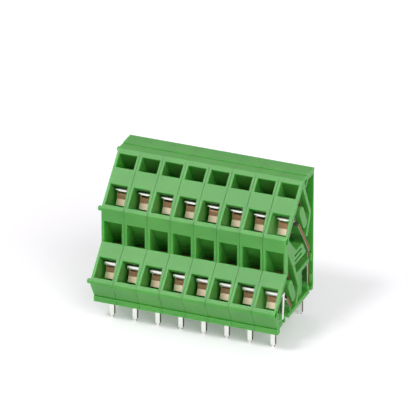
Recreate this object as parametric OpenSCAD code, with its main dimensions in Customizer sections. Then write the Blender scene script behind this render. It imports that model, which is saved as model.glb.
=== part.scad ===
// Two-level spring-clamp terminal block for a circuit board: a row of narrow plastic modules
// that peg into one another, each with a lower and an upper clamp. X runs along the row, the
// wire entries face -Y, and the block stands on the tips of its solder pins at Z = 0.

/* [Row] */
// Number of modules in the row
poles = 8; // [2:1:8]
// Distance from one module to the next
pitch = 5.08; // [5:0.01:6.5]
// Gap at the seam between two modules
seam_gap = 0.03; // [0.02:0.01:0.1]
// How far the rim of the open side stands back below the top, which draws the seams
seam_relief = 0.08; // [0.04:0.01:0.12]

/* [Housing outline] */
// Height of the foot that keeps the underside clear of the board
foot_h = 1.05; // [0.6:0.05:1.15]
// Depth of the foot along the front
foot_d = 1.25; // [0.9:0.05:1.6]
// Height of the plinth along the front foot
plinth_h = 1.25; // [0.8:0.05:1.8]
// How far the front wall stands back from the plinth
plinth_ledge = 0.25; // [0.1:0.05:0.4]
// How far the lower lip reaches out in front of the plinth
lip_out = 1.8; // [1.2:0.1:2.4]
// Height of the lower lip's edge above the foot
lip_z = 5.6; // [5.2:0.1:6.4]
// Height of the lip's blunt nose
lip_nose = 0.7; // [0.4:0.1:1]
// Rise of the lower 45 degree entry slope
lower_rise = 6.2; // [5.9:0.1:7]
// Height of the upright wall between the two slopes
wall_h = 7.7; // [7.4:0.1:9]
// Rise of the upper 45 degree entry slope
upper_rise = 9.4; // [8.8:0.1:9.8]
// Height of the raised strip along the back of the top
strip_h = 0.1; // [0.05:0.05:0.4]
// Depth of the raised strip
strip_d = 3.95; // [2.5:0.05:5]
// Width of the groove along the front of the raised strip
groove_w = 0.3; // [0.15:0.05:0.4]
// Depth of that groove
groove_d = 0.3; // [0.15:0.05:0.4]
// Extra wall behind the lower lip
lip_solid = 0.25; // [0.1:0.05:0.4]
// Depth of the housing from the plinth to the back
body_d = 20.2; // [19.9:0.1:23]

/* [Walls] */
// Left wall of a module
side_t = 0.35; // [0.3:0.05:0.45]
// Sloping and upright front walls
front_t = 1.25; // [1:0.05:1.35]
// Top wall
top_t = 1.1; // [0.8:0.05:1.4]
// Back wall
back_t = 0.5; // [0.4:0.05:0.7]
// Floor
floor_t = 0.9; // [0.6:0.05:1.1]
// Inner partitions and ribs
rib_t = 0.9; // [0.7:0.05:1.1]
// How far the inner ribs stop short of the open side
rib_back = 0.18; // [0.1:0.02:0.4]

/* [Openings] */
// Strip between a lip and its wire entry, along the slope
entry_lip = 0.95; // [0.7:0.05:1.2]
// Length of a wire entry along the slope
entry_l = 4.5; // [4:0.1:4.8]
// Thickness of the guide cheek left of each wire entry
cheek_t = 0.2; // [0.15:0.05:0.3]
// Depth of that cheek, square to the slope
cheek_d = 4.9; // [4.2:0.1:5.2]
// Depth of a wire entry, square to the slope
entry_depth = 1.95; // [1.8:0.05:2.2]
// Wall right of the wire entry at its lower edge
entry_wall = 0.42; // [0.35:0.02:0.6]
// How much wider that wall is at the entry's upper edge
entry_taper = 0.4; // [0:0.05:0.6]
// Left edge of a screwdriver slot
slot_x0 = 0.55; // [0.4:0.05:0.8]
// Wall right of a screwdriver slot
slot_wall = 0.6; // [0.4:0.05:0.8]
// Length of the upper screwdriver slot along the slope
upper_slot_l = 2.95; // [2.4:0.05:3.2]
// Rim left between the upper slot and the top
slot_rim = 1.15; // [0.8:0.05:1.4]
// Height of the lower screwdriver slot in the upright wall
lower_slot_h = 4.7; // [4:0.1:5]
// Level part of the lower slot's sill
sill_l = 0.2; // [0.1:0.05:0.5]
// Fall of the sill towards the inside
sill_fall = 1; // [0.4:0.1:1.4]

/* [Contacts] */
// Thickness of the contact strip
bar_t = 0.8; // [0.6:0.05:0.9]
// Left edge of the contact's front frame
frame_x0 = 1; // [0.95:0.05:1.1]
// Width of the clamping tongue
tongue_w = 1.75; // [1.5:0.05:1.85]
// Downward angle of the clamping tongue
tongue_angle = 54; // [53:0.2:56]
// Distance along the tongue at which it widens towards the open side
wide_u = 3.1; // [3:0.1:3.6]
// Length of the lower contact's tongue
tongue_l = 7.2; // [6.9:0.1:7.4]
// Radius of the bends, to the middle of the strip
bar_bend = 0.45; // [0.42:0.01:0.5]
// Fold at the head of the contact, behind the lip
head_y = 5.7; // [5.6:0.05:5.85]
// Fold at the head of the contact, above the lip
head_z = 2.8; // [2.7:0.05:2.9]
// How far the front frame leans back over its height
frame_lean = 0.6; // [0.4:0.05:0.8]
// Foot of the lower contact's frame, below the lip
frame_drop = 3.5; // [3.3:0.1:3.6]
// Width of the leg beside the wire, on the open side
leg_w = 0.8; // [0.6:0.05:0.9]
// Height of the foot bar that joins the leg to the solder pin
foot_bar_h = 1.2; // [0.9:0.1:1.5]
// Drop of the lower contact's head in front of its fold
lower_band = 1.3; // [1.2:0.05:1.5]
// Drop of the upper contact's head in front of its fold
upper_band = 0.95; // [0.85:0.05:1.3]
// How much higher the upper clamp sits in its level than the lower one
upper_raise = 0; // [0:0.05:0.3]
// Width of a solder pin
pin_w = 1; // [0.8:0.05:1.2]
// Left edge of a solder pin
pin_x0 = 2.3; // [2.1:0.05:2.5]
// Length of the solder pins below the housing
pin_l = 4.5; // [3:0.1:6]
// Length of the pin's bevelled tip
pin_tip = 0.5; // [0.3:0.05:0.8]
// Space between the rear contact's leg and the back wall, for rows of pins 15.24 apart
rear_gap = 0.76; // [0.6:0.02:0.9]

/* [Springs] */
// Thickness of the spring strip
spring_t = 0.45; // [0.35:0.05:0.5]
// Width of the spring strip
spring_w = 2.75; // [2.6:0.05:2.85]
// Left edge of the spring strip
spring_x0 = 1.05; // [0.95:0.05:1.1]
// Width of the window in the pull limb
limb_window_w = 2; // [1.95:0.05:2.1]
// Height of the window in the pull limb
limb_window_h = 2.85; // [2.8:0.05:3]
// Height of the pull limb's web, below its window
web_h = 1.15; // [1:0.05:1.3]
// Length of the skirt below the web
skirt_l = 1.4; // [1.2:0.05:1.5]
// Lean of the skirt
skirt_lean = 28; // [24:1:32]
// Lean of the pull limb
limb_lean = 12; // [10:0.5:14]
// Radius of the spring's shoulder bends, to the middle of the strip
shoulder_r = 0.8; // [0.7:0.05:0.9]
// How far the spring's shoulder falls towards the back
shoulder_fall = 0.25; // [0.1:0.05:0.4]
// Length of the spring's foot on the tongue
foot_l = 1.4; // [1:0.1:1.8]
// Place of the spring's lower turn along the tongue
turn_u = 6.3; // [6.2:0.02:6.5]

/* [Spring bosses] */
// Radius of the moulded boss inside each spring
boss_r = 1.05; // [0.9:0.05:1.1]
// Length of the boss between its round ends
boss_l = 3.9; // [3.6:0.05:4]
// Slope of the boss
boss_angle = 61.5; // [60:0.5:64]

/* [Ribs] */
// Top of the shelf between the levels, below the upper lip
shelf_drop = 5.1; // [4.9:0.1:5.4]
// How far the floor of the upper wire entry lies below the entry's edge
ramp_drop = 0.25; // [0.1:0.05:0.4]
// Height of the slots that core the block between the levels
core_h = 0.55; // [0.4:0.05:0.6]
// Ribs between those slots
core_rib = 0.6; // [0.5:0.05:0.7]
// Length of the upper pocket wall's toe, which leans over the contact
toe_l = 5; // [4:0.1:5.1]
// Top of the rear block above the foot
rear_top = 9.1; // [8:0.1:9.5]
// Width of the channel for the rear leg, in front of it
channel_w = 2.7; // [2:0.1:3.2]
// How far the rear block's plate stands back from the open side
plate_back = 0.75; // [0.4:0.05:1.2]
// Thickness of that plate
plate_t = 0.8; // [0.6:0.05:1]
// Height of the pads that the rear contact's leg lies on
pad_h = 1.6; // [1:0.1:2]
// Height of the lower pad above the foot
pad_z = 3.2; // [2.8:0.1:4]
// Distance from the lower pad to the upper one
pad_step = 4.8; // [3:0.1:5]
// Place of the notch in the floor's edge, behind the front pin
notch_y = 1.1; // [0.9:0.1:1.4]
// Depth of that notch along the side
notch_l = 1.8; // [1.2:0.1:2.2]
// How far the notch reaches into the floor
notch_w = 1.5; // [0.8:0.1:2]

/* [Coupling pegs] */
// Radius of a peg
peg_r = 0.52; // [0.4:0.02:0.55]
// Length of a peg
peg_l = 0.95; // [0.7:0.05:1.1]
// Bevel at a peg's end
peg_bevel = 0.15; // [0.1:0.05:0.25]
// Extra length of a socket across the peg
socket_play = 0.3; // [0.2:0.05:0.4]
// Wall round a socket
socket_wall = 0.42; // [0.35:0.02:0.5]
// Lower peg, behind its lip
lower_peg_y = 0.8; // [0.7:0.05:0.9]
// Lower peg, below its lip
lower_peg_drop = 0.45; // [0.4:0.05:0.55]
// Middle peg, behind its lip
middle_peg_y = 0.75; // [0.7:0.05:0.9]
// Middle peg, below its lip
middle_peg_drop = 0.5; // [0.4:0.05:0.6]
// Top peg, behind the edge of the top
top_peg_y = 1.75; // [1.5:0.05:2]

/* [Clearances] */
// Gap round pins in their slots, and round pegs in their sockets
fit_gap = 0.08; // [0.05:0.01:0.12]
// Free space at the end of a peg in its socket
socket_gap = 0.12; // [0.08:0.02:0.2]
// Gap between a strip and the rib or strip that it sits on
seat_gap = 0.03; // [0.02:0.01:0.06]
// Gap between a boss and the spring's lower turn
boss_gap = 0.12; // [0.1:0.01:0.2]
// How far behind the contact's fold the pull limb passes
limb_set = 0.45; // [0.42:0.01:0.52]
// Gap between the closed pull limb and the underside of the tongue
clamp_gap = 0.45; // [0.3:0.05:0.55]
// Gap between the spring's lower turn and the pocket wall behind it
turn_gap = 1; // [0.8:0.05:1.1]
// Room between the spring's shoulder and the roof above its back
roof_gap = 1.6; // [1.3:0.1:1.9]
// How far the contacts stop short of the open side
contact_gap = 0.2; // [0.15:0.01:0.3]
// Between the upper contact's slanting bar and the blocks below it
bar_gap = 1; // [0.5:0.1:1.2]
// How far the rear leg stops short of the open side
leg_gap = 0.55; // [0.3:0.05:0.8]

/* [Hidden] */
$fn = 48;
over = 1;
bend_steps = 6;
turn_steps = 14;
root2 = sqrt(2);
kinds = ["housing", "lower_contact", "upper_contact", "lower_spring", "upper_spring"];

// Where the row stands: the middle of its box, on the pin tips
row_x0 = (peg_l - poles * pitch + seam_gap) / 2;
row_y0 = (lip_out - body_d) / 2;

// Housing outline, as [y, z] from the front foot
module_w = pitch - seam_gap;
rib_x1 = module_w - rib_back;
lip = [-lip_out, lip_z];
wall_y = lower_rise - lip_out;
wall_z = lip_z + lower_rise;
level_step = [lower_rise, lower_rise + wall_h];
upper_lip = lip + level_step;
rim = upper_lip + [upper_rise, upper_rise];
body_h = rim[1] + strip_h;
floor_z = foot_h + floor_t;
strip_y = body_d - strip_d;
back_in = body_d - back_t;
top_in = rim[1] - top_t;
slope_in = front_t * root2;
lip_depth = front_t + lip_solid;
outline = [
    [0, 0], [foot_d, 0], [foot_d, foot_h], [body_d, foot_h], [body_d, body_h], [strip_y, body_h],
    [strip_y, rim[1] - groove_d], [strip_y - groove_w, rim[1] - groove_d], [strip_y - groove_w, rim[1]],
    rim, upper_lip, [wall_y, wall_z], lip, lip - [0, lip_nose], [plinth_ledge, plinth_h], [0, plinth_h],
];
// Inner face of each slope: z - y stays the same along it
lower_in = lip[1] - lip[0] - slope_in;
upper_in = upper_lip[1] - upper_lip[0] - slope_in;
lip_in = lip[0] + lip_depth;
hollow = [
    [plinth_ledge + front_t, floor_z], [back_in, floor_z], [back_in, top_in],
    [top_in - upper_in, top_in], [wall_y + front_t, wall_y + front_t + upper_in],
    [wall_y + front_t, wall_y + front_t + lower_in], [lip_in, lip_in + lower_in],
    [lip_in, lip_z - lip_nose],
];

// Openings in the slopes, from the lip
entry_t1 = entry_lip + entry_l;
upper_slot_t1 = upper_rise * root2 - slot_rim;
slot_top = wall_z + lower_slot_h;
slot_in = wall_y + front_t + seat_gap;
entry_x0 = side_t + cheek_t;
entry_x1 = module_w - entry_wall;
entry_outline = [
    [entry_x0, entry_lip], [entry_x1, entry_lip], [entry_x1 - entry_taper, entry_t1], [entry_x0, entry_t1],
];

// Clamp layout, as [y, z] from the lip of its level
head = [head_y, head_z];
along = [cos(tongue_angle), -sin(tongue_angle)];
across = [sin(tongue_angle), cos(tongue_angle)];
frame_foot = [head_y - frame_lean, -frame_drop];
frame_slope = frame_lean / (head_z + frame_drop);
turn_r = boss_r + boss_gap + spring_t / 2;
turn = head + turn_u * along + (bar_t / 2 + seat_gap + spring_t / 2 + turn_r) * across;
boss_top = turn + boss_l * [-cos(boss_angle), sin(boss_angle)];
limb_y = head_y + limb_set;
web_y = limb_y + spring_t / 2 / cos(limb_lean);
web_z = head_z - (web_y - head_y) * tan(tongue_angle) - bar_t / 2 / cos(tongue_angle) - clamp_gap;
limb_top = web_z + limb_window_h;
shoulder_z = limb_top + shoulder_r + spring_t / 4;
shoulder_front = [limb_y + (shoulder_z - web_z) * tan(limb_lean), shoulder_z];
shoulder_back = [boss_top[0] + turn_r, shoulder_z - shoulder_fall];
web_foot = [limb_y - web_h * tan(limb_lean), web_z - web_h];
skirt_foot = web_foot - skirt_l * [sin(skirt_lean), cos(skirt_lean)];

// Places across the module
frame_x1 = module_w - contact_gap;
leg_x1 = module_w - leg_gap;
spring_mid = spring_x0 + spring_w / 2;
tongue_x0 = spring_mid - tongue_w / 2;
front_pin_y = lip[0] + frame_foot[0];
rear_pin_y = back_in - rear_gap - bar_t / 2;
clamps = [lip, upper_lip + [0, upper_raise]];

// Pocket wall behind a spring, as [y, z] from the lip of its level
pocket_high = [shoulder_back[0], shoulder_back[1] + roof_gap];
pocket_low = [turn[0] + turn_r + spring_t / 2 + turn_gap, turn[1] + turn_r * 3 / 4];
pocket_foot = lip[0] + turn[0] + boss_r;
pocket_fall = unit([pocket_foot, floor_z] - lip - pocket_low);
wall_shift = [rib_t / 2, 0];

// Blocks and ribs, as [y, z] from the front foot; bar_front is as near as a block comes to the upper contact's bar
function bar_front(z) = clamps[1][0] + head_y + (clamps[1][1] + head_z - z) / tan(tongue_angle)
    - (bar_t / 2 + bar_gap) / sin(tongue_angle);
leg_front = rear_pin_y - bar_t / 2 - fit_gap;
roof_low = lip + pocket_high;
mid_y1 = min(leg_front - 2 * rib_t, bar_front(roof_low[1]));
shelf_z1 = upper_lip[1] - shelf_drop;
shelf_y1 = mid_y1 - (shelf_z1 - roof_low[1]) / tan(tongue_angle);
ramp_sum = upper_lip[0] + upper_lip[1] + entry_lip * root2 - ramp_drop;
core_z = roof_low[1] + core_rib;
rear_y2 = min(leg_front, bar_front(rear_top));
rear_y1 = rear_y2 - channel_w;
plate_x1 = module_w - plate_back;
rear_fall = (roof_low[1] - rear_top) / (pocket_high[1] - pocket_low[1]);
rear_y0 = roof_low[0] + rear_fall * (pocket_low[0] - pocket_high[0]);
tongue_rest = lip + head + tongue_l * along - (bar_t / 2 + seat_gap) * across;

// Coupling pegs and their sockets, as [y, z] from the front foot
socket_r = peg_r + fit_gap;
pegs = [
    lip + [lower_peg_y, -lower_peg_drop],
    upper_lip + [middle_peg_y, -middle_peg_drop],
    [rim[0] + top_peg_y, rim[1] - socket_r - socket_play / 2 - socket_wall],
];
socket_d = peg_l + socket_gap;

function unit(v) = v / norm(v);
function left_of(v) = [-v[1], v[0]];

// Points of a bend of radius r that replaces the corner b between a and c
function bend(a, b, c, r) =
    let (u = unit(a - b), w = unit(c - b), half = acos(u * w) / 2,
         centre = b + unit(u + w) * r / sin(half),
         from = b + u * r / tan(half) - centre,
         to = b + w * r / tan(half) - centre,
         start = atan2(from[1], from[0]),
         sweep = (atan2(to[1], to[0]) - start + 540) % 360 - 180)
    [for (i = [0:bend_steps]) let (q = start + sweep * i / bend_steps) centre + r * [cos(q), sin(q)]];

// Outline of a strip of thickness 2 * h along a centre line
function edge_point(line, i, h) =
    let (a = unit(line[max(i, 1)] - line[max(i, 1) - 1]),
         last = len(line) - 1,
         b = unit(line[min(i + 1, last)] - line[min(i + 1, last) - 1]),
         n = unit(left_of(a) + left_of(b)))
    line[i] + n * h / (n * left_of(a));
function strip(line, t) = concat(
    [for (i = [0:len(line) - 1]) edge_point(line, i, t / 2)],
    [for (i = [len(line) - 1:-1:0]) edge_point(line, i, -t / 2)]);

// A slab of the module from x0 to x1, drawn in the [y, z] plane
module slab(x0, x1) translate([x0, 0, 0]) rotate([90, 0, 90]) linear_extrude(x1 - x0) children();
module level(at) translate([0, at[0], at[1]]) children();
module at_pole(k) translate([row_x0 + (k - 1) * pitch, row_y0, pin_l]) children();

// A cut into a 45 degree slope, drawn as [x, distance up the slope]
module slope_cut(at, depth)
    level(at) rotate([45, 0, 0]) translate([0, 0, -depth]) linear_extrude(depth + over) children();

module box_yz(y0, z0, y1, z1) translate([y0, z0]) square([y1 - y0, z1 - z0]);

module boss(at) slab(0, rib_x1) {
    polygon(strip([at + turn, at + boss_top], 2 * boss_r));
    translate(at + turn) circle(boss_r);
    translate(at + boss_top) circle(boss_r);
}

// Guide cheek left of a wire entry, from the slope's inner face inwards
module cheek(at) slab(0, entry_x0) translate(at) rotate(45) translate([entry_lip - rib_t / 2, -cheek_d])
    square([entry_l + rib_t, cheek_d - front_t / 2]);

// Block between the levels: ramp of the upper wire entry, roof of the lower slot, and shelf
module mid_block() difference() {
    slab(0, rib_x1) polygon([
        [wall_y + front_t / 2, slot_top], [wall_y + front_t, slot_top], roof_low, [mid_y1, roof_low[1]],
        [shelf_y1, shelf_z1], [ramp_sum - shelf_z1, shelf_z1],
        [wall_y + front_t, ramp_sum - wall_y - front_t], [wall_y + front_t / 2, upper_lip[1]],
    ]);
    // Slots that keep the block's walls even
    for (z = [core_z, core_z + core_h + core_rib]) slab(side_t + rib_t, module_w)
        box_yz(roof_low[0] + rib_t, z, shelf_y1 - rib_t / 2, z + core_h);
}

// Walls of the two spring pockets
module pocket_walls() slab(0, rib_x1) {
    low = lip + pocket_low + wall_shift;
    polygon(strip([roof_low + wall_shift, low, [pocket_foot, foot_h + floor_t / 2] + wall_shift], rib_t));
    at = clamps[1];
    upper_low = at + pocket_low + wall_shift;
    polygon(strip([
        [at[0] + pocket_high[0] - rib_t, rim[1] - top_t / 2], at + pocket_high + wall_shift,
        upper_low, upper_low + toe_l * pocket_fall,
    ], rib_t));
}

// Block behind the lower spring: a plate near the open side, a shelf on top, cored from below
module rear_block() {
    slab(plate_x1 - plate_t, plate_x1) polygon([
        [rear_y0, rear_top] + wall_shift, lip + pocket_low + wall_shift, [pocket_foot, foot_h] + wall_shift,
        [rear_y1, foot_h], [rear_y1, rear_top],
    ]);
    slab(0, rib_x1) box_yz(rear_y0 + rib_t / 2, rear_top - rib_t, rear_y2, rear_top);
    slab(0, plate_x1 + seat_gap) box_yz(rear_y1 - rib_t, foot_h, rear_y1, rear_top);
}

// Ribs that seat the metal parts
module ribs() slab(0, rib_x1) {
    // Front contact: a rib before and a rib behind its foot
    box_yz(plinth_ledge, foot_h, front_pin_y - bar_t / 2 - fit_gap, floor_z + rib_t);
    rib_y = front_pin_y + bar_t / 2;
    box_yz(rib_y + 2 * fit_gap, foot_h, rib_y + rib_t, floor_z + rib_t / 2);
    // Rest under the end of the lower tongue
    polygon([
        tongue_rest, tongue_rest - rib_t * along, [tongue_rest[0] - rib_t * along[0], foot_h],
        [tongue_rest[0], foot_h],
    ]);
    // Rear contact: pads on the back wall, and a rib in front of the leg
    for (z = [pad_z, pad_z + pad_step])
        box_yz(rear_pin_y + bar_t / 2 + seat_gap, z, back_in + back_t / 2, z + pad_h);
    box_yz(leg_front - rib_t, foot_h, leg_front, floor_z + rib_t);
}

module peg(at) translate([0, at[0], at[1]]) rotate([0, -90, 0]) {
    translate([0, 0, -side_t / 2]) cylinder(h = side_t / 2 + peg_l - peg_bevel, r = peg_r);
    translate([0, 0, peg_l - peg_bevel]) cylinder(h = peg_bevel, r1 = peg_r, r2 = peg_r - peg_bevel);
}

module socket_shape(at, r) translate(at) {
    for (side = [-1, 1]) translate([0, side * socket_play / 2]) circle(r);
    square([2 * r, socket_play], center = true);
}

// Slot in the floor for a solder pin, open to the right so that the contact drops in
module pin_slot(y) translate([pin_x0 - fit_gap, y - bar_t / 2 - fit_gap, -over])
    cube([module_w, bar_t + 2 * fit_gap, floor_z + over + rib_t]);

module housing() color("#69ae5f") difference() {
    union() {
        difference() {
            slab(0, module_w) polygon(outline);
            slab(side_t, module_w + over) polygon(hollow);
        }
        for (at = clamps) boss(at);
        for (at = [lip, upper_lip]) cheek(at);
        mid_block();
        pocket_walls();
        rear_block();
        ribs();
        for (at = pegs) {
            peg(at);
            slab(module_w - socket_d - rib_t, module_w) intersection() {
                socket_shape(at, socket_r + socket_wall);
                polygon(outline);
            }
        }
    }
    for (at = [lip, upper_lip]) slope_cut(at, entry_depth) polygon(entry_outline);
    slope_cut(upper_lip, slope_in) polygon([
        [slot_x0, upper_slot_t1 - upper_slot_l], [module_w - slot_wall, upper_slot_t1 - upper_slot_l],
        [module_w - slot_wall, upper_slot_t1], [slot_x0, upper_slot_t1],
    ]);
    slab(slot_x0, module_w - slot_wall) polygon([
        [wall_y - over, wall_z], [wall_y + sill_l, wall_z], [slot_in, wall_z - sill_fall],
        [slot_in, slot_top], [wall_y - over, slot_top],
    ]);
    for (at = pegs) slab(module_w - socket_d, module_w + over) socket_shape(at, socket_r);
    pin_slot(front_pin_y);
    pin_slot(rear_pin_y);
    // Notch in the edge of the floor, behind the front contact
    translate([module_w - notch_w, front_pin_y + notch_y, -over])
        cube([module_w, notch_l, floor_z + over + seat_gap]);
    // Opening in the floor, from which the rear block is cored
    slab(side_t + rib_t / 2, plate_x1 - plate_t - rib_t / 2)
        box_yz(pocket_foot + 2 * rib_t, -over, rear_y1 - 2 * rib_t, floor_z + seat_gap);
    // Rim of the open side, set back below the top
    slab(module_w - seam_relief, module_w + over)
        box_yz(-lip_out - over, -over, body_d + over, rim[1] - top_t / 2);
}

// Head of a contact: the strip folded over, as wide as the frame in front of the pull limb
module contact_head(at, drop, band) {
    foot = head - [frame_slope * (head_z + drop), head_z + drop];
    tail = head + along * head_y;
    front = strip(concat([foot], bend(foot, head, tail, bar_bend), [tail]), bar_t);
    cut_y = limb_y + (head_z - lower_band - web_z) * tan(limb_lean) - spring_t / 2 / cos(limb_lean) - fit_gap;
    slab(frame_x0, frame_x1) translate(at) intersection() {
        polygon(front);
        box_yz(0, head_z - band, cut_y, head_z + bar_t);
    }
}

// Leg beside the wire, and the foot bar that joins it to the solder pin
module contact_leg(at) {
    leg = strip([frame_foot, head - [frame_slope, 1] * lower_band / 2], bar_t);
    slab(frame_x1 - leg_w, frame_x1) translate(at) polygon(leg);
    slab(pin_x0, frame_x1) translate(at) intersection() {
        polygon(leg);
        box_yz(0, -frame_drop - bar_t, head_y, foot_bar_h - frame_drop);
    }
}

// Solder pin with a bevelled tip, from the given height down
module solder_pin(y, top) {
    slab(pin_x0, pin_x0 + pin_w) box_yz(y - bar_t / 2, pin_tip - pin_l, y + bar_t / 2, top);
    slab(pin_x0 + pin_w / 4, pin_x0 + pin_w * 3 / 4)
        polygon([
            [y - bar_t / 2, pin_tip - pin_l], [y + bar_t / 2, pin_tip - pin_l],
            [y + bar_t / 4, -pin_l], [y - bar_t / 4, -pin_l],
        ]);
}

module lower_contact() color("#c9cac6") {
    contact_head(lip, frame_drop, lower_band);
    contact_leg(lip);
    fold = bend(frame_foot, head, head + along * tongue_l, bar_bend);
    slab(tongue_x0, tongue_x0 + tongue_w) translate(lip)
        polygon(strip(concat(fold, [head + along * tongue_l]), bar_t));
    slab(tongue_x0, frame_x1) translate(lip)
        polygon(strip([head + along * wide_u, head + along * tongue_l], bar_t));
    solder_pin(front_pin_y, lip[1] + frame_foot[1] + bar_t / 2);
}

module upper_contact() color("#c9cac6") {
    at = clamps[1];
    contact_head(at, frame_drop, upper_band);
    corner = at + head + along * (rear_pin_y - at[0] - head_y) / along[0];
    fold = bend(at + frame_foot, at + head, corner, bar_bend);
    rear_bend = bend(at + head, corner, [corner[0], 0], bar_bend * 3);
    neck_z = floor_z + seat_gap;
    slab(tongue_x0, tongue_x0 + tongue_w) polygon(strip(concat(fold, [rear_bend[0]]), bar_t));
    slab(tongue_x0, frame_x1) polygon(strip([at + head + along * wide_u, rear_bend[0]], bar_t));
    slab(tongue_x0, leg_x1)
        polygon(strip(concat([at + head + along * wide_u], rear_bend, [[rear_pin_y, neck_z]]), bar_t));
    solder_pin(rear_pin_y, neck_z + bar_t / 2);
}

// Tension spring: pull limb with its window, shoulder, return limb, lower turn and foot
module clamp_spring(at) color("#b98a68") {
    reach = shoulder_back - turn;
    meet = atan2(reach[1], reach[0]) - acos(turn_r / norm(reach));
    lower_turn = [for (i = [0:turn_steps])
        let (q = meet + (270 - tongue_angle - 360 - meet) * i / turn_steps) turn + turn_r * [cos(q), sin(q)]];
    line = concat([skirt_foot, web_foot],
        bend(web_foot, shoulder_front, shoulder_back, shoulder_r),
        bend(shoulder_front, shoulder_back, lower_turn[0], shoulder_r),
        lower_turn, [lower_turn[turn_steps] - foot_l * along]);
    difference() {
        slab(spring_x0, spring_x0 + spring_w) translate(at) polygon(strip(line, spring_t));
        slab(spring_mid - limb_window_w / 2, spring_mid + limb_window_w / 2) translate(at)
            box_yz(limb_y - spring_t, web_z, shoulder_front[0] + spring_t / 2, limb_top);
    }
}

for (k = [1:poles]) {
    at_pole(k) housing();
    at_pole(k) lower_contact();
    at_pole(k) upper_contact();
    at_pole(k) clamp_spring(clamps[0]);
    at_pole(k) clamp_spring(clamps[1]);
}
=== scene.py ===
import math

import bmesh
import bpy
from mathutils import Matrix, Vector
from mathutils.bvhtree import BVHTree
from mathutils.geometry import intersect_point_line


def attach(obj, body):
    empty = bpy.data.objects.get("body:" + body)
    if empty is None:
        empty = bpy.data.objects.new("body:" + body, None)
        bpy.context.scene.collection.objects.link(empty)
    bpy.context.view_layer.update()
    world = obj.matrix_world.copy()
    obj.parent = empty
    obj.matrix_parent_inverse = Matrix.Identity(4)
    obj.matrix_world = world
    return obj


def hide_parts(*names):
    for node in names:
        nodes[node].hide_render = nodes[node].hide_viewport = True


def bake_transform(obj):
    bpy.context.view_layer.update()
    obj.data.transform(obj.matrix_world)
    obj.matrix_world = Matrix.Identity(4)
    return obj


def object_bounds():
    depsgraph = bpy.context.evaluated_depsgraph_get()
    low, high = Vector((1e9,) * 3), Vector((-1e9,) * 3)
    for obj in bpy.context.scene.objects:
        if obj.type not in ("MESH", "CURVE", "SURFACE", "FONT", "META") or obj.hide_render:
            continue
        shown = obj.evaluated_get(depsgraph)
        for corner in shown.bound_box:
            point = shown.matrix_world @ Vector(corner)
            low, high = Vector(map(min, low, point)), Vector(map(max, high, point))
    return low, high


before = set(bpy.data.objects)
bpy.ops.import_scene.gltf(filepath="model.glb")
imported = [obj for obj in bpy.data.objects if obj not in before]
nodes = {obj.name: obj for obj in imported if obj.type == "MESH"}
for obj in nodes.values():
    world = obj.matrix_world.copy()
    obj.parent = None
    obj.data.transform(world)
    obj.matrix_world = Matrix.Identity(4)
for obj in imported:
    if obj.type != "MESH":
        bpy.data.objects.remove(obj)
cad_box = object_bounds()
scene = bpy.context.scene

MM = 0.001
POLES = 8
PITCH = 5.08 * MM
# Gap between two modules
SEAM = 0.03 * MM
# The open rim of a module is set back by this, so that the seams show
SET_BACK = 0.08 * MM
# Inner face of the back wall
BACK_IN = 10.5 * MM
# Front foot of the first module, and from there the lip that each level's clamp is laid out from
FOOT = Vector((-19.83, -9.2, 4.5)) * MM
CLAMPS = {"lower": Vector((0, -1.8, 5.6)) * MM, "upper": Vector((0, 4.4, 19.5)) * MM}


# Materials


def linear(code):
    """An sRGB hex colour as linear RGBA."""
    parts = [int(code[i:i + 2], 16) / 255 for i in (1, 3, 5)]
    return [c / 12.92 if c <= 0.04045 else ((c + 0.055) / 1.055) ** 2.4 for c in parts] + [1]


def add(tree, kind, at=(0, 0), inputs=None, **settings):
    """A node with its settings; an input is a value, or the output socket that feeds it."""
    made = tree.nodes.new(kind)
    made.location = at
    for name, value in settings.items():
        setattr(made, name, value)
    for name, value in (inputs or {}).items():
        if isinstance(value, bpy.types.NodeSocket):
            tree.links.new(value, made.inputs[name])
        else:
            made.inputs[name].default_value = value
    return made


def new_material(name):
    material = bpy.data.materials.new(name)
    material.use_nodes = True
    tree = material.node_tree
    tree.nodes.clear()
    return material, tree


def polyamide():
    """Moulded polyamide: a satin sheen over an even green, and light that seeps through thin walls."""
    material, tree = new_material("moulded_green_polyamide")
    coords = add(tree, "ShaderNodeTexCoord").outputs["Object"]
    # Flow clouds a few millimetres across
    clouds = add(tree, "ShaderNodeTexNoise", inputs={"Vector": coords, "Scale": 1 / (6 * MM), "Detail": 3.0})
    tint = add(tree, "ShaderNodeValToRGB", inputs={"Fac": clouds.outputs["Fac"]})
    tint.color_ramp.elements[0].position, tint.color_ramp.elements[1].position = 0.3, 0.7
    tint.color_ramp.elements[0].color = linear("#429a33")
    tint.color_ramp.elements[1].color = linear("#4ea239")
    # Spark-eroded grit; the real grain is about 0.03 mm, drawn at 0.09 mm so that it shows
    grit = add(tree, "ShaderNodeTexNoise", inputs={"Vector": coords, "Scale": 1 / (0.09 * MM), "Detail": 2.0})
    rough = add(tree, "ShaderNodeMapRange", inputs={
        "Value": grit.outputs["Fac"], "From Min": 0.3, "From Max": 0.7, "To Min": 0.44, "To Max": 0.54})
    bump = add(tree, "ShaderNodeBump", inputs={
        "Height": grit.outputs["Fac"], "Strength": 0.12, "Distance": 0.01 * MM})
    shader = add(tree, "ShaderNodeBsdfPrincipled", inputs={
        "Base Color": tint.outputs["Color"], "Roughness": rough.outputs["Result"],
        "IOR": 1.53, "Specular IOR Level": 0.7,
        "Subsurface Weight": 1.0, "Subsurface Radius": (0.15, 1.0, 0.3), "Subsurface Scale": 1.3 * MM,
        "Normal": bump.outputs["Normal"]})
    add(tree, "ShaderNodeOutputMaterial", inputs={"Surface": shader.outputs["BSDF"]})
    return material


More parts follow.
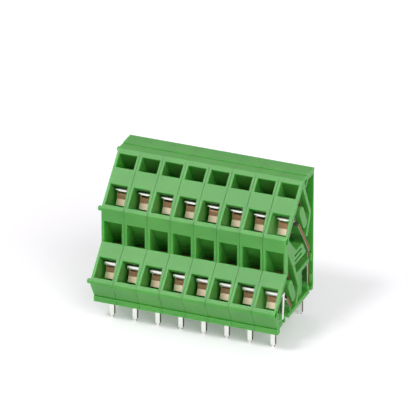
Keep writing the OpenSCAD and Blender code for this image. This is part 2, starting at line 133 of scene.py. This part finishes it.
def strip_metal(name, dark, light, edge, low, high, metallic, shade_bands=(), plated=None):
    """Rolled strip: a soft gleam with fine lines along it, and darker, duller cut edges; on the spring strip their
    dark brown is painted shade.

    The real rolling lines are a few hundredths of a millimetre apart, drawn at 0.15 mm so that they show.
    Shade bands are (start, full and end height, colour) of painted shade that darkens the strip upward; plated is
    (top of the pins, back of the legs, colour of the pins' cut edges, partly their dull finish and partly painted
    shade).
    """
    material, tree = new_material(name)
    coords = add(tree, "ShaderNodeTexCoord").outputs
    lines = add(tree, "ShaderNodeMapping", inputs={"Vector": coords["Object"], "Scale": (1, 0.12, 0.12)})
    roll = add(tree, "ShaderNodeTexNoise", inputs={
        "Vector": lines.outputs["Vector"], "Scale": 1 / (0.15 * MM), "Detail": 2.0})
    stain = add(tree, "ShaderNodeTexNoise", inputs={
        "Vector": coords["Object"], "Scale": 1 / (2.5 * MM), "Detail": 3.0})
    tint = add(tree, "ShaderNodeValToRGB", inputs={"Fac": stain.outputs["Fac"]})
    tint.color_ramp.elements[0].position, tint.color_ramp.elements[1].position = 0.35, 0.65
    tint.color_ramp.elements[0].color, tint.color_ramp.elements[1].color = linear(dark), linear(light)
    skin = tint.outputs["Color"]
    place = add(tree, "ShaderNodeSeparateXYZ", inputs={"Vector": coords["Object"]}).outputs
    height = place["Z"]
    for low_z, full_z, end_z, shade_tone in shade_bands:
        # Painted shade: from one height upward the strip takes a darker colour, in place of the shade that falls on
        # its upper part
        rise = add(tree, "ShaderNodeMapRange", inputs={"Value": height, "From Min": low_z, "From Max": full_z})
        under = add(tree, "ShaderNodeMath", operation="LESS_THAN", inputs={0: height, 1: end_z})
        amount = add(tree, "ShaderNodeMath", operation="MULTIPLY", inputs={
            0: rise.outputs["Result"], 1: under.outputs[0]})
        skin = add(tree, "ShaderNodeMix", data_type="RGBA", inputs={
            0: amount.outputs[0], 6: skin, 7: linear(shade_tone)}).outputs[2]
    # The strip is stamped across the row, so its cut edges face along the row
    facing = add(tree, "ShaderNodeSeparateXYZ", inputs={"Vector": coords["Normal"]})
    side = add(tree, "ShaderNodeMath", operation="ABSOLUTE", inputs={0: facing.outputs["X"]})
    cut = add(tree, "ShaderNodeMapRange", inputs={
        "Value": side.outputs[0], "From Min": 0.6, "From Max": 0.8}).outputs["Result"]
    tone = linear(edge)
    if plated:
        # The front legs are plated on their edges too; the pins' edges below them are a dull dark grey, partly their
        # duller finish and partly painted shade on the pins' sides
        pin_top, leg_back, dull_edge_and_shade = plated
        on_pin = add(tree, "ShaderNodeMath", operation="LESS_THAN", inputs={0: height, 1: pin_top}).outputs[0]
        in_front = add(tree, "ShaderNodeMath", operation="LESS_THAN", inputs={0: place["Y"], 1: leg_back}).outputs[0]
        on_leg = add(tree, "ShaderNodeMath", operation="SUBTRACT", use_clamp=True, inputs={
            0: in_front, 1: on_pin}).outputs[0]
        cut = add(tree, "ShaderNodeMath", operation="SUBTRACT", use_clamp=True, inputs={
            0: cut, 1: on_leg}).outputs[0]
        tone = add(tree, "ShaderNodeMix", data_type="RGBA", inputs={
            0: on_pin, 6: tone, 7: linear(dull_edge_and_shade)}).outputs[2]
    skin = add(tree, "ShaderNodeMix", data_type="RGBA", inputs={0: cut, 6: skin, 7: tone}).outputs[2]
    smooth = add(tree, "ShaderNodeMapRange", inputs={
        "Value": roll.outputs["Fac"], "From Min": 0.3, "From Max": 0.7, "To Min": low, "To Max": high})
    # A sheared edge is rougher than the rolled face
    rough = add(tree, "ShaderNodeMix", inputs={0: cut, 2: smooth.outputs["Result"], 3: 0.55})
    bump = add(tree, "ShaderNodeBump", inputs={
        "Height": roll.outputs["Fac"], "Strength": 0.1, "Distance": 0.005 * MM})
    shader = add(tree, "ShaderNodeBsdfPrincipled", inputs={
        "Base Color": skin, "Metallic": metallic, "Roughness": rough.outputs[0],
        "Normal": bump.outputs["Normal"]})
    add(tree, "ShaderNodeOutputMaterial", inputs={"Surface": shader.outputs["BSDF"]})
    return material


GREEN = polyamide()
# The front legs reach a little behind their pins
LEG_BACK = max(v.co.y for v in nodes["lower_contact_1"].data.vertices if v.co.z < FOOT.z) + 0.6 * MM
# Bright tin is nearly white and a little soft; where its cut edges are bare they show the copper alloy. The pins' cut
# edges are a dull dark grey, partly their duller finish and partly painted shade
TIN = strip_metal("tin_plated_copper_strip", "#f0efea", "#fbfaf5", "#86653f", 0.2, 0.28, 1.0,
                  plated=(FOOT.z, LEG_BACK, "#6e6c64"))
# The bare spring strip is pale where it clamps; above that it is painted copper-pink and then brown round the
# shoulder, as painted shade in place of the shade that falls on its upper part
SHADE_BANDS = ((-0.42, -0.3, "#f6b295"), (0.9, 1.7, "#7a5c40"))
LEVEL_H = 12 * MM
PAINTED_SHADE_BANDS = [(FOOT.z + c.z + low * MM, FOOT.z + c.z + full * MM, FOOT.z + c.z + LEVEL_H, tone)
              for c in CLAMPS.values() for low, full, tone in SHADE_BANDS]
# The dark brown of the spring's cut edges is painted shade on its sides; only their roughness is the cut's own
BRONZE = strip_metal("bare_bronze_spring_strip", "#fadcbe", "#ffead2", "#76563a", 0.28, 0.36, 0.65, PAINTED_SHADE_BANDS)


# Pieces


# Points nearer than this are one point, and faces nearer to one plane than this are one face
SAME_POINT = 0.0005 * MM
SAME_PLANE = math.radians(0.6)
# An eased edge is at least this long and this sharp, and has this many radii of face on both sides
LEAST_LENGTH = 0.45 * MM
LEAST_ANGLE = math.radians(28)
LEAST_ROOM = 2.5
# Corners up to this angle are facets of a round wall
ROUND_WALL = math.radians(32)
# The two flanks of the first module, and how near to a flank a point lies on it or an edge is one of its own
FLANKS = (FOOT.x, FOOT.x + PITCH - SEAM)
ON_FLANK = 0.002 * MM
AT_FLANK = 0.12 * MM
# Share of the seam that the pressed modules close
PRESSED = 0.86


def room(edge):
    """How far the nearest other edge lies from this edge's middle, on the faces beside it."""
    middle = (edge.verts[0].co + edge.verts[1].co) / 2
    found = math.inf
    for other in {e for f in edge.link_faces for e in f.edges if not set(e.verts) & set(edge.verts)}:
        start, end = (v.co for v in other.verts)
        share = intersect_point_line(middle, start, end)[1]
        found = min(found, (start.lerp(end, min(max(share, 0.0), 1.0)) - middle).length)
    return found


def outward_faces(shape):
    """Faces that look out of the piece to the front, back, top or bottom, not at another of its walls."""
    tree = BVHTree.FromBMesh(shape)
    return {f for f in shape.faces if abs(f.normal.x) < 0.5 and tree.ray_cast(
        f.calc_center_median_weighted() + f.normal * 0.001 * MM, f.normal)[0] is None}


def press_together(shape):
    """Narrows the seam between two modules, and closes it to the light at the back wall's inner corner."""
    for v in shape.verts:
        if abs(v.co.x - FLANKS[0]) < ON_FLANK:
            v.co.x -= PRESSED * SEAM
        elif abs(v.co.x - FLANKS[1] + SET_BACK) < ON_FLANK and abs(v.co.y - BACK_IN) < 10 * ON_FLANK:
            v.co.x += SET_BACK


def eased(node, name, radius, steps=2, flank=None):
    """A merged copy of a CAD node with its outer sharp edges eased, as a moulding or a deburred strip has them.

    Both radii are in millimetres. Edges on the flanks, where modules meet, get the smaller radius of flank.
    """
    shape = bmesh.new()
    shape.from_mesh(nodes[node].data)
    bmesh.ops.remove_doubles(shape, verts=shape.verts, dist=SAME_POINT)
    bmesh.ops.dissolve_limit(shape, angle_limit=SAME_PLANE, verts=shape.verts, edges=shape.edges)
    shape.normal_update()
    outward = outward_faces(shape)
    chosen = [e for e in shape.edges if e.is_manifold and e.calc_length() > LEAST_LENGTH
              and e.calc_face_angle_signed(0) > LEAST_ANGLE and outward.intersection(e.link_faces)
              and room(e) > LEAST_ROOM * radius * MM]
    outer = []
    if flank:
        press_together(shape)
        outer = [e for e in chosen
                 if any(all(abs(v.co.x - x) < AT_FLANK for v in e.verts) for x in FLANKS)]
    inner = [e for e in chosen if e not in outer]
    rounds = []
    for edges, width in ((inner, radius), (outer, flank)):
        if edges:
            rounds += bmesh.ops.bevel(
                shape, geom=[e for e in edges if e.is_valid], offset=width * MM, offset_type="OFFSET",
                segments=steps, profile=0.5, affect="EDGES", clamp_overlap=False, loop_slide=True)["faces"]
    bmesh.ops.dissolve_degenerate(shape, dist=0.0002 * MM, edges=shape.edges)
    shape.edges.index_update()
    borders = {e.index for f in rounds if f.is_valid for e in f.edges}
    mesh = bpy.data.meshes.new(name)
    shape.to_mesh(mesh)
    shape.free()
    # The normals that came with the CAD mesh no longer fit its eased corners
    if "custom_normal" in mesh.attributes:
        mesh.attributes.remove(mesh.attributes["custom_normal"])
    mesh.set_sharp_from_angle(angle=ROUND_WALL)
    # The flat faces beside an eased edge stay flat
    for i in borders:
        mesh.edges[i].use_edge_sharp = True
    made = bpy.data.objects.new(name, mesh)
    scene.collection.objects.link(made)
    return made


def row_tree():
    """One module's piece, repeated along the row."""
    tree = bpy.data.node_groups.new("module_row", "GeometryNodeTree")
    sockets = {}
    for name, kind, value in (("Module piece", "NodeSocketObject", None), ("Poles", "NodeSocketInt", POLES),
                              ("Pitch", "NodeSocketFloat", PITCH), ("Finish", "NodeSocketMaterial", None)):
        socket = tree.interface.new_socket(name, in_out="INPUT", socket_type=kind)
        if value is not None:
            socket.default_value = value
        sockets[name] = socket.identifier
    tree.interface.new_socket("Row", in_out="OUTPUT", socket_type="NodeSocketGeometry")
    given = add(tree, "NodeGroupInput", at=(-600, 0)).outputs
    piece = add(tree, "GeometryNodeObjectInfo", at=(-400, -200), inputs={"Object": given["Module piece"]})
    step = add(tree, "ShaderNodeCombineXYZ", at=(-400, 200), inputs={"X": given["Pitch"]})
    line = add(tree, "GeometryNodeMeshLine", at=(-200, 200), inputs={
        "Count": given["Poles"], "Offset": step.outputs["Vector"]})
    copies = add(tree, "GeometryNodeInstanceOnPoints", at=(0, 0), inputs={
        "Points": line.outputs["Mesh"], "Instance": piece.outputs["Geometry"]})
    solid = add(tree, "GeometryNodeRealizeInstances", at=(200, 0), inputs={"Geometry": copies.outputs["Instances"]})
    dressed = add(tree, "GeometryNodeSetMaterial", at=(400, 0), inputs={
        "Geometry": solid.outputs["Geometry"], "Material": given["Finish"]})
    add(tree, "NodeGroupOutput", at=(600, 0), inputs={"Row": dressed.outputs["Geometry"]})
    return tree, sockets


ROW, ROW_SOCKETS = row_tree()


def row_of(piece, name, finish, stem):
    """The eight copies of a module's piece as one mesh on the block, in place of their CAD nodes."""
    carrier = bpy.data.objects.new(name + "_maker", bpy.data.meshes.new(name + "_maker"))
    scene.collection.objects.link(carrier)
    rule = carrier.modifiers.new("row", "NODES")
    rule.node_group = ROW
    rule[ROW_SOCKETS["Module piece"]] = piece
    rule[ROW_SOCKETS["Poles"]] = POLES
    rule[ROW_SOCKETS["Pitch"]] = PITCH
    rule[ROW_SOCKETS["Finish"]] = finish
    graph = bpy.context.evaluated_depsgraph_get()
    mesh = bpy.data.meshes.new_from_object(carrier.evaluated_get(graph), depsgraph=graph)
    carrier.modifiers.remove(rule)
    bpy.data.objects.remove(carrier)
    bpy.data.objects.remove(piece)
    made = bpy.data.objects.new(name, mesh)
    scene.collection.objects.link(made)
    # Round walls shade by their larger facets
    normals = made.modifiers.new("even_faces", "WEIGHTED_NORMAL")
    normals.mode, normals.weight, normals.keep_sharp = "FACE_AREA", 90, True
    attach(made, "block")
    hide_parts(*[f"{stem}_{k}" for k in range(1, POLES + 1)])
    return made


row_of(eased("housing_1", "housing_module", 0.12, flank=0.04),
       "housing_row", GREEN, "housing")
row_of(eased("lower_contact_1", "lower_contact_one", 0.07),
       "lower_contact_row", TIN, "lower_contact")
row_of(eased("upper_contact_1", "upper_contact_one", 0.07),
       "upper_contact_row", TIN, "upper_contact")

# Where a spring starts to bend, from its level's lip, and the way from there to its pull limb, seen from the side
HINGE = Vector((0, 11.4, 1.75)) * MM
AWAY = Vector((0, -0.8, 0.6))
# Cuts across the bend, so that it can curve
FIRST_CUT, CUT_STEP, CUTS = 0.3, 0.16, 13
# The pull limb lies in front of this, from its level's lip, and has folds sharper than this
LIMB_BACK = 6.5 * MM
FOLD = math.radians(8)


def spring_leaf(level, k):
    """A spring with eased edges and enough cuts to bend, in place of its CAD node."""
    node = f"{level}_spring_{k}"
    made = eased(node, f"{level}_spring_leaf_{k}", 0.05, steps=1)
    lip = FOOT + CLAMPS[level]
    hinge = lip + HINGE
    shape = bmesh.new()
    shape.from_mesh(made.data)
    for i in range(CUTS):
        bmesh.ops.bisect_plane(shape, geom=shape.verts[:] + shape.edges[:] + shape.faces[:], dist=1e-7,
                               plane_co=hinge + AWAY * (FIRST_CUT + CUT_STEP * i) * MM, plane_no=AWAY)
    # The folds of the pull limb stay crisp; the shoulder and the lower turn stay round
    for edge in shape.edges:
        if (edge.is_manifold and edge.calc_face_angle(0) > FOLD
                and all(v.co.y < lip.y + LIMB_BACK for v in edge.verts)):
            edge.smooth = False
    shape.to_mesh(made.data)
    shape.free()
    made.data.materials.clear()
    made.data.materials.append(BRONZE)
    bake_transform(made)
    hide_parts(node)
    return made


for level in CLAMPS:
    for k in range(1, POLES + 1):
        spring_leaf(level, k)


# Stage: pale floor, white surround, soft light from above and in front

FLOOR_Z = cad_box[0][2]
FLOOR_HALF = 3.0
# Added to the floor where the camera or a reflection sees it, so that it runs into the white
FLOOR_LIFT = 0.2
# Strength of the white surround as a light; seen directly it is plain white
FILL = 0.53
# A grey card behind the open end, and how dark it is at its middle
CARD_WAY = (0.83, 0.56, 0.0)
CARD_DARK = 0.3


def floor_material():
    material, tree = new_material("pale_studio_floor")
    ray = add(tree, "ShaderNodeLightPath").outputs
    seen = add(tree, "ShaderNodeMath", operation="MAXIMUM", inputs={0: ray["Is Camera Ray"], 1: ray["Is Glossy Ray"]})
    lift = add(tree, "ShaderNodeMath", operation="MULTIPLY", inputs={0: seen.outputs[0], 1: FLOOR_LIFT})
    glow = add(tree, "ShaderNodeEmission", inputs={"Strength": lift.outputs[0]})
    matt = add(tree, "ShaderNodeBsdfDiffuse", inputs={"Color": linear("#f6f3f8")})
    both = add(tree, "ShaderNodeAddShader", inputs={0: matt.outputs["BSDF"], 1: glow.outputs["Emission"]})
    add(tree, "ShaderNodeOutputMaterial", inputs={"Surface": both.outputs["Shader"]})
    return material


def floor():
    shape = bmesh.new()
    bmesh.ops.create_grid(shape, x_segments=1, y_segments=1, size=FLOOR_HALF)
    bmesh.ops.translate(shape, verts=shape.verts, vec=(0, 0, FLOOR_Z))
    mesh = bpy.data.meshes.new("studio_floor")
    shape.to_mesh(mesh)
    shape.free()
    made = bpy.data.objects.new("studio_floor", mesh)
    made.data.materials.append(floor_material())
    scene.collection.objects.link(made)


def surround():
    world = bpy.data.worlds.new("white_surround")
    scene.world = world
    world.use_nodes = True
    tree = world.node_tree
    tree.nodes.clear()
    ray = add(tree, "ShaderNodeLightPath").outputs
    mirrored = add(tree, "ShaderNodeMath", operation="MAXIMUM", inputs={
        0: ray["Is Glossy Ray"], 1: ray["Is Transmission Ray"]})
    seen = add(tree, "ShaderNodeMath", operation="MAXIMUM", inputs={0: ray["Is Camera Ray"], 1: mirrored.outputs[0]})
    strength = add(tree, "ShaderNodeMapRange", inputs={"Value": seen.outputs[0], "To Min": FILL, "To Max": 1.0})
    # The card shows in the light and in reflections, not to the camera itself
    toward = add(tree, "ShaderNodeVectorMath", operation="DOT_PRODUCT", inputs={
        0: add(tree, "ShaderNodeTexCoord").outputs["Generated"], 1: CARD_WAY})
    card = add(tree, "ShaderNodeMapRange", inputs={
        "Value": toward.outputs["Value"], "From Min": 0.1, "From Max": 0.8, "To Min": 1.0, "To Max": CARD_DARK})
    plain = add(tree, "ShaderNodeMath", operation="MAXIMUM", inputs={
        0: card.outputs["Result"], 1: ray["Is Camera Ray"]})
    level = add(tree, "ShaderNodeMath", operation="MULTIPLY", inputs={
        0: strength.outputs["Result"], 1: plain.outputs[0]})
    light = add(tree, "ShaderNodeBackground", inputs={"Color": linear("#ffffff"), "Strength": level.outputs[0]})
    add(tree, "ShaderNodeOutputWorld", inputs={"Surface": light.outputs["Background"]})


def from_angles(azimuth, elevation):
    """The way from the part to a lamp or the camera; azimuth 0 is straight in front of the wire entries."""
    a, e = math.radians(azimuth), math.radians(elevation)
    return Vector((math.sin(a) * math.cos(e), -math.cos(a) * math.cos(e), math.sin(e)))


def lamp(name, azimuth, elevation, strength, spread):
    data = bpy.data.lights.new(name, "SUN")
    data.energy = strength
    data.angle = math.radians(spread)
    made = bpy.data.objects.new(name, data)
    made.rotation_euler = from_angles(azimuth, elevation).to_track_quat("Z", "Y").to_euler()
    scene.collection.objects.link(made)


floor()
surround()
lamp("key_softbox", -28, 55, 1.0, 14)
lamp("right_softbox", 52, 34, 1.5, 45)

# Camera: the photograph's viewing angle, as fitted to the row's edges, and a long lens
AZIMUTH, ELEVATION = 21.80, 27.31
DISTANCE = 1.420
FRAME_PIXELS = 408
PIXELS_PER_M = 4878.0
SENSOR = 36
# A point in the middle of the row, and where it shows in the frame
centre = FOOT + Vector((20.32, 10, 12)) * MM
CENTRE_X, CENTRE_Y = 203.62, 245.54
back = from_angles(AZIMUTH, ELEVATION)
right = Vector((math.cos(math.radians(AZIMUTH)), math.sin(math.radians(AZIMUTH)), 0))
up = back.cross(right)
eye = centre + back * DISTANCE
aim = (centre + right * ((FRAME_PIXELS / 2 - CENTRE_X) / PIXELS_PER_M)
       + up * ((CENTRE_Y - FRAME_PIXELS / 2) / PIXELS_PER_M))
lens = bpy.data.cameras.new("photo_lens")
lens.sensor_width = SENSOR
lens.lens = SENSOR * PIXELS_PER_M * DISTANCE / FRAME_PIXELS
lens.clip_start, lens.clip_end = 0.05, 20
camera = bpy.data.objects.new("photo_camera", lens)
camera.location = eye
camera.rotation_euler = (eye - aim).to_track_quat("Z", "Y").to_euler()
scene.collection.objects.link(camera)
scene.camera = camera
scene.view_settings.view_transform = "Standard"
